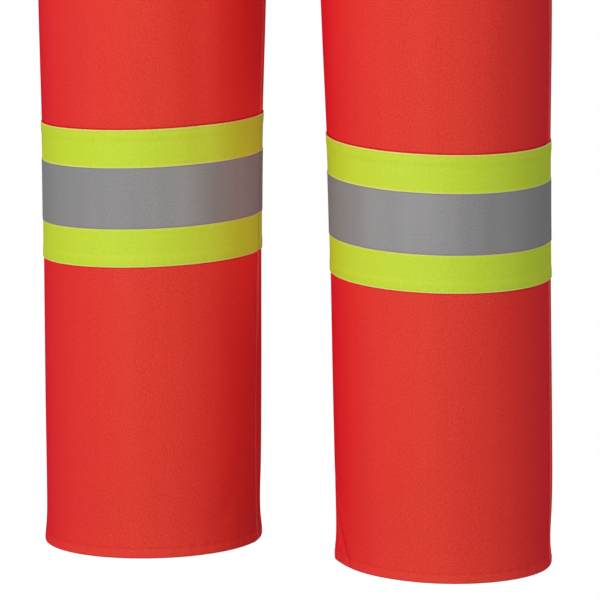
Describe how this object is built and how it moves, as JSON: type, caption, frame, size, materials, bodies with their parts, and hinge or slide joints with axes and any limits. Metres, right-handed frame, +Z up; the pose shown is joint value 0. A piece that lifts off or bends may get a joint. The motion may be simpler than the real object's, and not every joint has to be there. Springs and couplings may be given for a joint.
{
  "type": "bib overalls",
  "caption": "High-visibility bib overalls filled out as worn: open straight legs, bib, high back, buckled braces and a reflective band round each leg.",
  "frame": {"origin": "midway between the two braces, level with their undersides where they rest on the wearer's shoulders", "axes": "+Z up, +X to the wearer's left, front of the garment towards -Y"},
  "size_m": [0.4562, 0.2665, 1.46],
  "materials": {
    "twill": "matte fluorescent red-orange twill",
    "contrast_tape": "matte fluorescent lime tape",
    "silver_tape": "glass-bead reflective silver tape",
    "steel": "satin nickel-plated steel"
  },
  "bodies": {
    "root": {"back_bib": "twill", "back_leg_left": "twill", "back_leg_right": "twill", "bib_button_left": "steel", "bib_button_right": "steel", "bib_front": "twill", "contrast_tape_left": "contrast_tape", "contrast_tape_right": "contrast_tape", "front_leg_left": "twill", "front_leg_right": "twill", "side_button_lower_left": "steel", "side_button_lower_right": "steel", "side_button_upper_left": "steel", "side_button_upper_right": "steel", "side_placket_left": "twill", "side_placket_right": "twill", "silver_tape_left": "silver_tape", "silver_tape_right": "silver_tape", "strap_buckle_left": "steel", "strap_buckle_right": "steel", "strap_left": "twill", "strap_right": "twill"}
  },
  "joints": []
}
